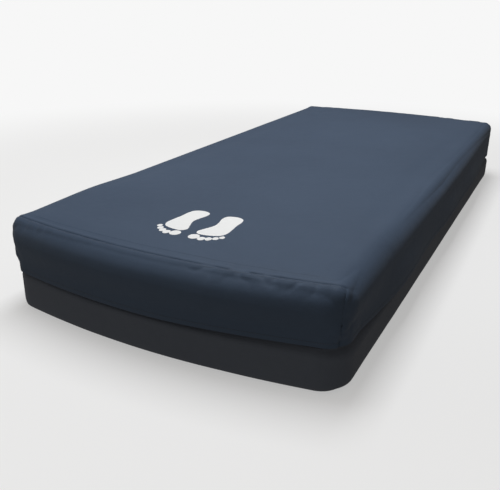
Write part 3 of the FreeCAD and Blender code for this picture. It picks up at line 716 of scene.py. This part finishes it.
def fabric_piece(name, cuts, material):
    """One object from the cuts of one or more panels, shaded with the whole panel's normals."""
    points, faces, normals = [], [], []
    for cut_points, cut_faces, cut_normals in cuts:
        faces.extend(cut_faces + len(points))
        points.extend(cut_points)
        normals.extend(cut_normals)
    piece = new_object(name, points, faces, [material])
    piece.data.normals_split_custom_set_from_vertices([tuple(n) for n in normals])
    return piece


STITCH_PITCH = 0.0036
STITCH_LENGTH = 0.0024
STITCH_THICKNESS = 0.00045
STITCH_SIDES = 6


def along_path(path, normals, pitch, first):
    """Places a pitch apart on a path, with the direction ahead and the normal at each."""
    reach = arc_along(path, 0)
    places = np.arange(first, reach[-1] - pitch, pitch)

    def values(distances, source):
        return np.stack([np.interp(distances, reach, source[:, k]) for k in range(3)], axis=1)

    centres = values(places, path)
    ahead = values(places + 0.001, path) - centres
    return centres, ahead / np.linalg.norm(ahead, axis=1, keepdims=True), values(places, normals)


def bar_faces(start, rings, sides):
    """The faces of a closed bar whose rings of points lie one after another."""
    faces = []
    for ring in range(rings - 1):
        for n in range(sides):
            a, b = start + sides * ring + n, start + sides * ring + (n + 1) % sides
            faces.append((a, b, b + sides, a + sides))
    faces.append(tuple(start + sides - 1 - n for n in range(sides)))
    faces.append(tuple(start + sides * (rings - 1) + n for n in range(sides)))
    return faces


def stitches(name, path, normals):
    """Short threads laid along a path, each a flattened rounded bar."""
    centres, ahead, outward = along_path(path, normals, STITCH_PITCH, STITCH_PITCH)
    outward /= np.linalg.norm(outward, axis=1, keepdims=True)
    side = np.cross(ahead, outward)
    points, faces = [], []
    turns = [2 * math.pi * n / STITCH_SIDES for n in range(STITCH_SIDES)]
    profile = ((-0.5, 0.35), (-0.3, 1.0), (0.3, 1.0), (0.5, 0.35))
    for centre, forward, across, out in zip(centres, ahead, side, outward):
        faces.extend(bar_faces(len(points), len(profile), STITCH_SIDES))
        for share, girth in profile:
            for turn in turns:
                ring = math.cos(turn) * across + 0.7 * math.sin(turn) * out
                place = centre + share * STITCH_LENGTH * forward
                points.append(place + girth * STITCH_THICKNESS * ring)
    return new_object(name, points, faces, [THREAD])


def on_fabric(path, normals):
    """A path that lies just off the fabric."""
    return path + 0.0002 * normals


def top_seam_path(panel, depth):
    """Points and normals of an end panel along a line at some depth below its top seam."""
    grid = np.swapaxes(panel.grid, 0, 1)[::-1]
    normals = np.swapaxes(panel_normals(panel.grid), 0, 1)[::-1]
    reach = arc_along(grid[1:], 0)
    path, outward = [], []
    for column in range(2, grid.shape[1] - 2):
        row = int(np.searchsorted(reach[:, column], depth)) + 1
        below = reach[row - 2, column]
        share = (depth - below) / max(reach[row - 1, column] - below, 1e-9)
        path.append(grid[row - 1, column] * (1 - share) + grid[row, column] * share)
        outward.append(normals[row, column])
    path, outward = np.array(path), np.array(outward)
    return on_fabric(path, outward), outward


def build_cover():
    """The cover's top panel, its end panels and the pieces that all of them are cut into."""
    cover = Cover()
    fill_cover(cover)
    s_last = len(cover.top) - 1
    top = Panel(
        cover.points[cover.top],
        fine_places(s_last, False, False, 4),
        fine_places(LAST_Y, True, True, 2),
        [(1, True), (1, False)],
        11,
    )
    ends = {}
    for end, ids, seed in (("foot", cover.foot, 21), ("head", cover.head, 31)):
        ends[end] = Panel(
            cover.points[ids],
            fine_places(LAST_X, True, True, 4),
            fine_places(LAST_Z, False, True, 3),
            [(1, False), (0, True), (0, False)],
            seed,
        )
    top.hem(0, True)
    top.hem(0, False)
    for panel in ends.values():
        panel.hem(1, True)

    def between_splits(column):
        return (column > SPLIT_COLUMN) & (column < LAST_Y - SPLIT_COLUMN)

    def is_skirt(row, column):
        return (np.minimum(row, s_last - row) < SKIRT_ROW) & between_splits(column)

    def is_corner(row, column):
        return (np.minimum(row, s_last - row) < SEAM_ROW) & ~between_splits(column)

    cuts = {"cover_top_soft": [top.cut(lambda r, c: ~is_skirt(r, c) & ~is_corner(r, c))]}
    for side, at_left in (("left", True), ("right", False)):
        skirt = top.cut(lambda r, c: is_skirt(r, c) & ((r < s_last / 2) == at_left))
        cuts[f"{side}_flap_soft"] = [skirt]
    for end, panel in ends.items():
        at_foot = end == "foot"
        corners = top.cut(lambda r, c: is_corner(r, c) & ((c < LAST_Y / 2) == at_foot))
        cuts[f"{end}_end_soft"] = [panel.cut(lambda r, c: c > SEAM_ROW)]
        cuts[f"{end}_flap_soft"] = [panel.cut(lambda r, c: c < SEAM_ROW), corners]
    pieces = {name: fabric_piece(name, parts, COVER) for name, parts in cuts.items()}
    return top, ends, pieces


# ---------------- base tray, hem facing, zip

# The tray's wall: how far it stands out of its nominal outline half way up, and how much more it
# does on the right, towards the middle of each end and round the corners.
TRAY_SWELL = 0.0120
TRAY_SWELL_RIGHT = 0.0060
TRAY_SWELL_END = 0.0060
TRAY_SWELL_CORNER = 0.0030
# room for the filling's corners, at the tray's upper edge and at its rolled lower edge
CORNER_ROOM = 0.0045
ROLL_ROOM = 0.0035
# the level where the swell runs out, and the one from which the wall goes straight up
SWELL_TOP = 0.1035
WALL_STRAIGHT = 0.102
# where the wall rises to the upper cover at the head end, and its edge below the zip's coil
WALL_RISE_START = tape_high.y - 0.012
BELOW_COIL = 0.008

# corner radius of the base tray, and inset and corner radius of the zip's tapes
TRAY_CORNER = 0.055
TAPE_INSET = 0.0108
TEETH_INSET = 0.0109
TAPE_CORNER = 0.056


def plan_ring(inset, radius):
    """Points and outward normals of the cover's bowed outline, drawn in by an inset."""
    half_x, half_y = HALF_WIDTH - inset, HALF_LENGTH - inset
    inner_x, inner_y = half_x - radius, half_y - radius
    turns = [math.radians(7.5 * n) for n in range(1, 12)]
    arc = [(radius * math.cos(t), radius * math.sin(t)) for t in turns]
    long_side = lines(-inner_y, inner_y, 150)
    short_side = lines(-inner_x, inner_x, 64)
    runs = [
        [(half_x, y) for y in long_side],
        [(inner_x + c, inner_y + s) for c, s in arc],
        [(x, half_y) for x in reversed(short_side)],
        [(-inner_x - s, inner_y + c) for c, s in arc],
        [(-half_x, y) for y in reversed(long_side)],
        [(-inner_x - c, -inner_y - s) for c, s in arc],
        [(x, -half_y) for x in short_side],
        [(inner_x + s, -inner_y - c) for c, s in arc],
    ]
    ring = np.concatenate(runs)
    ring[:, 1] += bow(ring[:, 0], ring[:, 1])
    ahead = np.roll(ring, -1, axis=0) - np.roll(ring, 1, axis=0)
    outward = np.stack([ahead[:, 1], -ahead[:, 0]], axis=1)
    return ring, outward / np.linalg.norm(outward, axis=1, keepdims=True)


def swept_tray(name, ring, outward, profile, material):
    """A tray round the outline. Each profile row gives how far out and how high, per point."""
    points = []
    count = len(ring)
    for out, height in profile:
        place = ring + outward * np.broadcast_to(out, count)[:, None]
        points.extend(np.column_stack([place, np.broadcast_to(height, count)]))
    ids = np.arange(len(profile) * count).reshape(-1, count)
    ids = np.concatenate([ids, ids[:, :1]], axis=1).T
    faces = [tuple(f) for f in grid_faces(ids)]
    faces.append(tuple(range(count - 1, -1, -1)))
    return new_object(name, points, faces, [material])


def build_base():
    """The base tray: a flat underside, a rolled lower edge and a slack wall up to the zip."""
    ring, outward = plan_ring(BASE_INSET, TRAY_CORNER)
    x, y = ring[:, 0], ring[:, 1]
    on_long_side = np.abs(outward[:, 0]) > 0.7
    middle = np.where(on_long_side, 1 - (y / HALF_LENGTH) ** 2, 1 - (x / HALF_WIDTH) ** 2)
    middle = np.clip(middle, 0, 1)
    top = np.where(y > WALL_RISE_START, wall_high.z, coil_low.z - BELOW_COIL)
    at = np.column_stack([ring, np.zeros(len(ring))])
    slack = noise_field(at, (3.2, 3.2, 1.0), 41)
    ripple = noise_field(at, (11.0, 11.0, 1.0), 42)
    cornering = 4 * (outward[:, 0] * outward[:, 1]) ** 2
    to_right = np.clip(outward[:, 0], 0, 1) ** 2
    to_end = outward[:, 1] ** 2
    swell = TRAY_SWELL + TRAY_SWELL_RIGHT * to_right + TRAY_SWELL_END * to_end * middle
    swell = swell + TRAY_SWELL_CORNER * cornering + 0.0010 * slack + 0.0005 * ripple
    profile = [(-0.030, 0.0004), (-0.010, 0.0)]
    for out, height in ((-0.003, 0.0004), (0.0010, 0.0022), (0.0040, 0.0060)):
        profile.append((out + ROLL_ROOM * cornering, height))
    room = CORNER_ROOM * cornering
    for height in np.linspace(0.012, 0.098, 16):
        below = math.sin(0.5 * math.pi * min(1.0, 0.42 + height / 0.050))
        above = smooth_step(SWELL_TOP - height, 0.0, 0.009 + 0.013 * to_right)
        profile.append((np.maximum(swell * below * above, room), height))
    for share in (0.15, 0.5, 1.0):
        profile.append((room, WALL_STRAIGHT + (top - WALL_STRAIGHT) * share))
    profile += [(room - 0.0009, top + 0.0004), (room - 0.0018, top), (room - 0.0020, top - 0.010)]
    return swept_tray("base_tray_soft", ring, outward, profile, BASE)


def turn_line(top, ends, place):
    """The loop round the cover at one row up from its hem, with outward directions in plan."""
    s_last = max(top.rows)
    inside = slice(1, -1)
    right = top.grid[nearest_place(top.rows, round(s_last) - place), inside]
    left = top.grid[nearest_place(top.rows, place), inside]
    foot = ends["foot"].grid[inside, nearest_place(ends["foot"].columns, place)]
    head = ends["head"].grid[inside, nearest_place(ends["head"].columns, place)]
    loop = np.concatenate([right, head, left[::-1], foot])
    ahead = np.roll(loop, -1, axis=0) - np.roll(loop, 1, axis=0)
    outward = np.stack([ahead[:, 1], -ahead[:, 0], np.zeros(len(loop))], axis=1)
    return loop, outward / np.maximum(np.linalg.norm(outward, axis=1, keepdims=True), 1e-9)


def build_lip(top, ends):
    """The facing inside the cover, from behind its turn line in to the zip tape."""
    above, above_out = turn_line(top, ends, SKIRT_ROW)
    level, level_out = turn_line(top, ends, SEAM_ROW)
    ring, _ = plan_ring(TAPE_INSET, TAPE_CORNER)
    nearest = [ring[np.argmin(np.sum((ring - place[:2]) ** 2, axis=1))] for place in level]
    inner = np.column_stack([nearest, np.full(len(nearest), SEAM_LEVEL - 0.0025)])
    outer = level - 0.0024 * level_out
    middle = (outer + inner) / 2 + (0, 0, -0.0004)
    rows = np.array([above - 0.0022 * above_out, outer + (0, 0, 0.002), middle, inner])
    rows = np.concatenate([rows, rows[:, :1]], axis=1)
    ids = np.arange(rows.shape[0] * rows.shape[1]).reshape(rows.shape[:2]).T
    return new_object("cover_lip_soft", rows.reshape(-1, 3), grid_faces(ids), [COVER])


TOOTH_PITCH = 0.0024
TEETH_END = coil_high.y


def zip_teeth(name, level, lean, shift):
    """One half of the closed zip's coil: a row of slanting loops along its tape."""
    ring, outward = plan_ring(TEETH_INSET, TAPE_CORNER)
    # the run starts at the head end of the right side and goes round the foot end
    first = int(np.argmin(np.abs(ring[:, 1] - TEETH_END) + (ring[:, 0] < 0) * 9))
    order = np.roll(np.arange(len(ring)), -first)[::-1]
    order = order[ring[order, 1] < TEETH_END]
    path = np.column_stack([ring[order], np.full(len(order), level)])
    normals = np.column_stack([outward[order], np.zeros(len(order))])
    points, faces = [], []
    profile = [(-1.15, 0.55), (-0.75, 0.95), (0.0, 1.0), (0.75, 0.95), (1.15, 0.55)]
    corners = ((-1, -1), (1, -1), (1, 1), (-1, 1))
    for centre, forward, out in zip(*along_path(path, normals, TOOTH_PITCH, TOOTH_PITCH + shift)):
        faces.extend(bar_faces(len(points), len(profile), len(corners)))
        for rise, girth in profile:
            middle = centre + np.array([0, 0, rise * 0.001]) + lean * rise * 0.0004 * forward
            for along, across in corners:
                points.append(middle + girth * (along * 0.00075 * forward + across * 0.00095 * out))
    return new_object(name, points, faces, [COIL])


# ---------------- the printed mark

MARK_CENTRE = (0.020, -0.850)
MARK_SCALE = 1.3
MARK_LIFT = 0.0003
MARK_RINGS = 6
# from the sign's centre to the middle of each foot
FOOT_ASIDE = 0.038
FOOT_BACK = 0.010


def ellipse(centre, half_width, half_length):
    """Points round an upright ellipse."""
    angles = np.linspace(0, 2 * math.pi, 28, endpoint=False)
    x, y = half_width * np.cos(angles), half_length * np.sin(angles)
    return np.column_stack([centre[0] + x, centre[1] + y])


def sole_outline(side):
    """The sole of a foot, toes towards -Y; side is 1 for a foot whose big toe is at +X."""
    # across and along the foot, from the heel round to the ball and back up the outer side
    knots = np.array(
        [(0.000, 0.066), (0.017, 0.060), (0.021, 0.044), (0.016, 0.022), (0.014, 0.002)]
        + [(0.021, -0.020), (0.027, -0.038), (0.020, -0.050), (0.002, -0.050), (-0.019, -0.042)]
        + [(-0.027, -0.026), (-0.026, -0.004), (-0.023, 0.020), (-0.022, 0.044), (-0.016, 0.060)]
    )
    places = np.linspace(0, len(knots), 56, endpoint=False)
    closed = np.concatenate([knots[-1:], knots, knots[:3]])
    outline = spread(places + 1, closed, 0)
    return outline * (side, 1)


def foot_shapes(side, centre):
    """A sole and five toes."""
    shapes = [sole_outline(side) + centre]
    toes = [
        (0.018, -0.066, 0.0105, 0.0120),
        (0.001, -0.069, 0.0070, 0.0090),
        (-0.011, -0.064, 0.0062, 0.0080),
        (-0.021, -0.056, 0.0056, 0.0072),
        (-0.029, -0.046, 0.0050, 0.0064),
    ]
    for x, y, half_width, half_length in toes:
        shapes.append(ellipse((centre[0] + side * x, centre[1] + y), half_width, half_length))
    return shapes


def printed_mark(cover_top):
    """A plain white foot-end sign, printed on the cover: the soles of two feet."""
    shapes = [
        MARK_SCALE * shape + MARK_CENTRE
        for side in (-1, 1)
        for shape in foot_shapes(side, (-FOOT_ASIDE * side, FOOT_BACK))
    ]
    points, faces = [], []
    for shape in shapes:
        middle = shape.mean(axis=0)
        start = len(points)
        count = len(shape)
        for ring in range(1, MARK_RINGS + 1):
            for point in middle + (shape - middle) * ring / MARK_RINGS:
                points.append(on_surface(cover_top, point))
        for ring in range(MARK_RINGS - 1):
            for n in range(count):
                a, b = start + ring * count + n, start + ring * count + (n + 1) % count
                faces.append((a, a + count, b + count, b))
        faces.append(tuple(start + n for n in range(count)))
    return new_object("foot_end_sign", points, faces, [PRINT])


def on_surface(piece, point):
    """The place on a piece straight below a plan point, a hair above the fabric."""
    hit, place, normal, _ = piece.ray_cast(Vector((point[0], point[1], 1.0)), Vector((0, 0, -1)))
    return place + MARK_LIFT * normal if hit else Vector((point[0], point[1], TOP))


# ---------------- build, and tell the frame

LOWER_TEETH_LEVEL = 0.12735
UPPER_TEETH_LEVEL = 0.13065
SEAM_STITCH_DEPTH = 0.0045

finish_hidden_nodes()
top_panel, end_panels, cover_pieces = build_cover()
base_tray = build_base()
lip = build_lip(top_panel, end_panels)
lower_teeth = zip_teeth("lower_zip_teeth", LOWER_TEETH_LEVEL, 1, 0.0)
upper_teeth = zip_teeth("upper_zip_teeth", UPPER_TEETH_LEVEL, -1, TOOTH_PITCH / 2)
bpy.context.view_layer.update()
sign = printed_mark(cover_pieces["cover_top_soft"])

stitch_pieces = []
for end, panel in end_panels.items():
    path, outward = top_seam_path(panel, SEAM_STITCH_DEPTH)
    stitch_pieces.append(stitches(f"{end}_seam_stitches", path, outward))

    hem_row = nearest_place(panel.columns, 1)
    outward = panel_normals(panel.grid)[3:-3, hem_row]
    path = on_fabric(panel.grid[3:-3, hem_row], outward)
    stitch_pieces.append(stitches(f"{end}_hem_stitches", path, outward))

side_stitches = {}
for side, hem_place in (("left", 1), ("right", round(max(top_panel.rows)) - 1)):
    row = nearest_place(top_panel.rows, hem_place)
    first = nearest_place(top_panel.columns, SPLIT_COLUMN + 1)
    last = nearest_place(top_panel.columns, LAST_Y - SPLIT_COLUMN - 1)
    outward = panel_normals(top_panel.grid)[row, first:last]
    path = on_fabric(top_panel.grid[row, first:last], outward)
    side_stitches[side] = stitches(f"{side}_hem_stitches", path, outward)
    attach(side_stitches[side], f"{side}_side_flap")

fixed_panels = ("cover_top", "foot_end", "head_end", "foot_flap", "head_flap")
fixed_cover = [cover_pieces[f"{name}_soft"] for name in fixed_panels]
for piece in fixed_cover + [base_tray, lip, lower_teeth, upper_teeth, sign] + stitch_pieces:
    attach(piece, "mattress")
for side, sign_x in (("left", -1), ("right", 1)):
    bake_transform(cover_pieces[f"{side}_flap_soft"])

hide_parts("top_cover_panel")
for end in ("foot", "head"):
    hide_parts(f"{end}_end_panel")
for name in ("foot_flap", "head_flap", "left_flap", "right_flap"):
    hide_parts(name)
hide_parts("base_wall", "base_sheet")
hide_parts("lower_zip_coil")
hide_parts("upper_zip_coil")


# ---------------- floor, light and camera

BACKDROP = (0.93, 0.93, 0.93)
# light from all round, and how it grows towards the foot end and the left
AMBIENT = (0.205, 0.190, 0.172)
AMBIENT_LEAN = (-0.22, -0.18, 0)
CAMERA_PLACE = (0.788, -2.097, 0.787)
CAMERA_LENS = 45.6
# in degrees: how far down the camera looks, its turn to the left and its roll
CAMERA_DOWN = 21.66
CAMERA_TURN = 26.85
CAMERA_ROLL = 0.83


def build_floor():
    """A pale floor that fades into the pale surroundings away from the mattress."""
    material, nodes, add, place = shader("studio_floor")
    tone = blotches(add, place, 0.8, 2.0)
    colour = tones(add, tone, (0.86, 0.86, 0.86), (0.88, 0.88, 0.88))
    surface = feed(nodes["Principled BSDF"], {"Base Color": colour, "Roughness": 0.9})
    distance = add("ShaderNodeVectorMath", {0: place}, operation="LENGTH").outputs["Value"]
    limits = {"From Min": 0.9, "From Max": 3.0, "To Min": 0.45}
    fade = add("ShaderNodeMapRange", {"Value": distance, **limits}, interpolation_type="SMOOTHSTEP")
    pale = add("ShaderNodeEmission", {"Color": (*BACKDROP, 1)})
    shares = {0: fade.outputs["Result"], 1: surface.outputs[0], 2: pale.outputs[0]}
    mix = add("ShaderNodeMixShader", shares)
    feed(nodes["Material Output"], {"Surface": mix.outputs[0]})
    size = 30.0
    corners = [(-size, -size, 0), (size, -size, 0), (size, size, 0), (-size, size, 0)]
    floor = new_object("floor", corners, [(0, 1, 2, 3)], [material])
    floor.location.z = -0.0006
    floor.visible_diffuse = False
    floor.visible_glossy = False


def area_light(name, place, target, size, power, colour):
    """A rectangular light that faces its target."""
    data = bpy.data.lights.new(name, "AREA")
    data.shape = "RECTANGLE"
    data.size, data.size_y = size
    data.energy = power
    data.color = colour
    light = bpy.data.objects.new(name, data)
    light.location = place
    light.rotation_euler = (Vector(target) - Vector(place)).to_track_quat("-Z", "Y").to_euler()
    bpy.context.collection.objects.link(light)


def build_world():
    """A flat backdrop to the camera, and for everything else a light stronger from some sides."""
    world = bpy.data.worlds.new("studio")
    world.use_nodes = True
    add = node_adder(world.node_tree)
    direction = add("ShaderNodeTexCoord").outputs["Generated"]
    lean = add("ShaderNodeVectorMath", {0: direction, 1: AMBIENT_LEAN}, operation="DOT_PRODUCT")
    strength = maths(add, "ADD", lean.outputs["Value"], 1.0)
    ambient = add("ShaderNodeVectorMath", {0: AMBIENT, "Scale": strength}, operation="SCALE")
    to_camera = add("ShaderNodeLightPath").outputs["Is Camera Ray"]
    # inputs 6 and 7 and output 2 are the mix node's colours
    colours = {6: ambient.outputs["Vector"], 7: (*BACKDROP, 1)}
    mix = add("ShaderNodeMix", {0: to_camera, **colours}, data_type="RGBA")
    feed(world.node_tree.nodes["Background"], {"Color": mix.outputs[2]})
    bpy.context.scene.world = world


def build_camera():
    """The camera, which looks down on the foot end from the right."""
    data = bpy.data.cameras.new("camera")
    data.lens = CAMERA_LENS
    data.sensor_width = 36.0
    camera = bpy.data.objects.new("camera", data)
    camera.location = CAMERA_PLACE
    turn = Euler((math.radians(90 - CAMERA_DOWN), 0, math.radians(CAMERA_TURN))).to_matrix()
    roll = Matrix.Rotation(math.radians(CAMERA_ROLL), 3, "Z")
    camera.rotation_euler = (turn @ roll).to_euler()
    bpy.context.collection.objects.link(camera)
    bpy.context.scene.camera = camera


build_floor()
build_world()
area_light("overhead", (-0.35, 0.05, 3.3), (-0.35, 0.05, 0), (1.3, 2.6), 95, (0.97, 0.985, 1.0))
area_light("low_side", (-3.0, -1.8, 0.5), (-0.4, -1.0, 0.1), (0.8, 0.5), 3.0, (1.0, 0.94, 0.86))
build_camera()
bpy.context.scene.view_settings.view_transform = "Standard"
